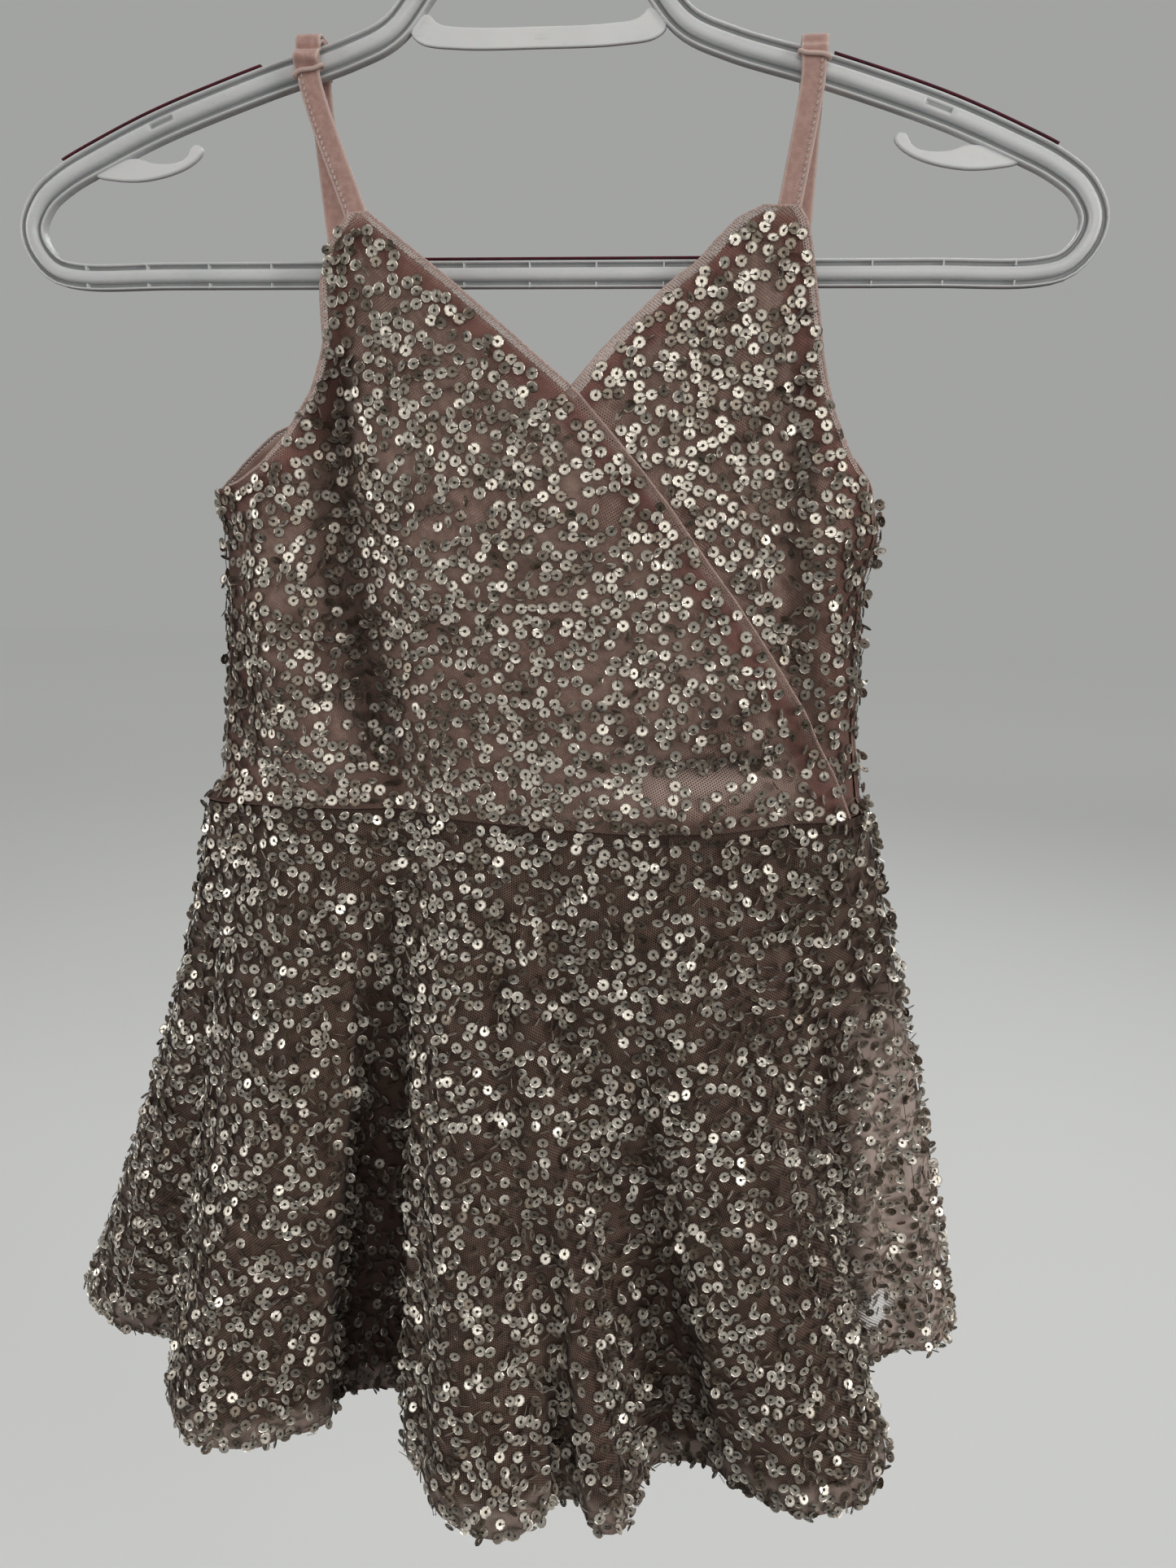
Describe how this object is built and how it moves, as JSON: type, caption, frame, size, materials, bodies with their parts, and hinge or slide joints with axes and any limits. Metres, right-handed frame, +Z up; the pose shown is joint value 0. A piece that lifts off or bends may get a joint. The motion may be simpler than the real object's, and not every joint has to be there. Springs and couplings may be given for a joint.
{
  "type": "child's sequined dress on a clothes hanger",
  "caption": "Sleeveless crossover child's dress in sequined net with narrow straps and a flared skirt, hung on a white plastic hanger.",
  "frame": {"origin": "seat of the hanger's hook, at the top of its inside, where a rail carries it", "axes": "+Z up along the garment's length, +X to the viewer's right along the hanger's bar, -Y towards the garment's front"},
  "size_m": [0.4235, 0.1721, 0.6942],
  "materials": {
    "bodice_cloth": "taupe net over dusty pink lining, sequined",
    "skirt_cloth": "taupe net, sequined",
    "strap_cloth": "dusty pink folded band",
    "hanger_plastic": "white satin",
    "grip_rubber": "dark maroon matt"
  },
  "bodies": {
    "root": {"front_over_panel": "bodice_cloth", "front_under_panel": "bodice_cloth", "back_bodice_panel": "bodice_cloth", "front_skirt_panel": "skirt_cloth", "back_skirt_panel": "skirt_cloth", "left_strap": "strap_cloth", "right_strap": "strap_cloth", "left_ring": "strap_cloth", "right_ring": "strap_cloth", "hanger_frame": "hanger_plastic", "hanger_web": "hanger_plastic", "hanger_hook": "hanger_plastic", "left_notch": "hanger_plastic", "right_notch": "hanger_plastic", "left_grip": "grip_rubber", "right_grip": "grip_rubber", "bar_grip": "grip_rubber"}
  },
  "joints": []
}
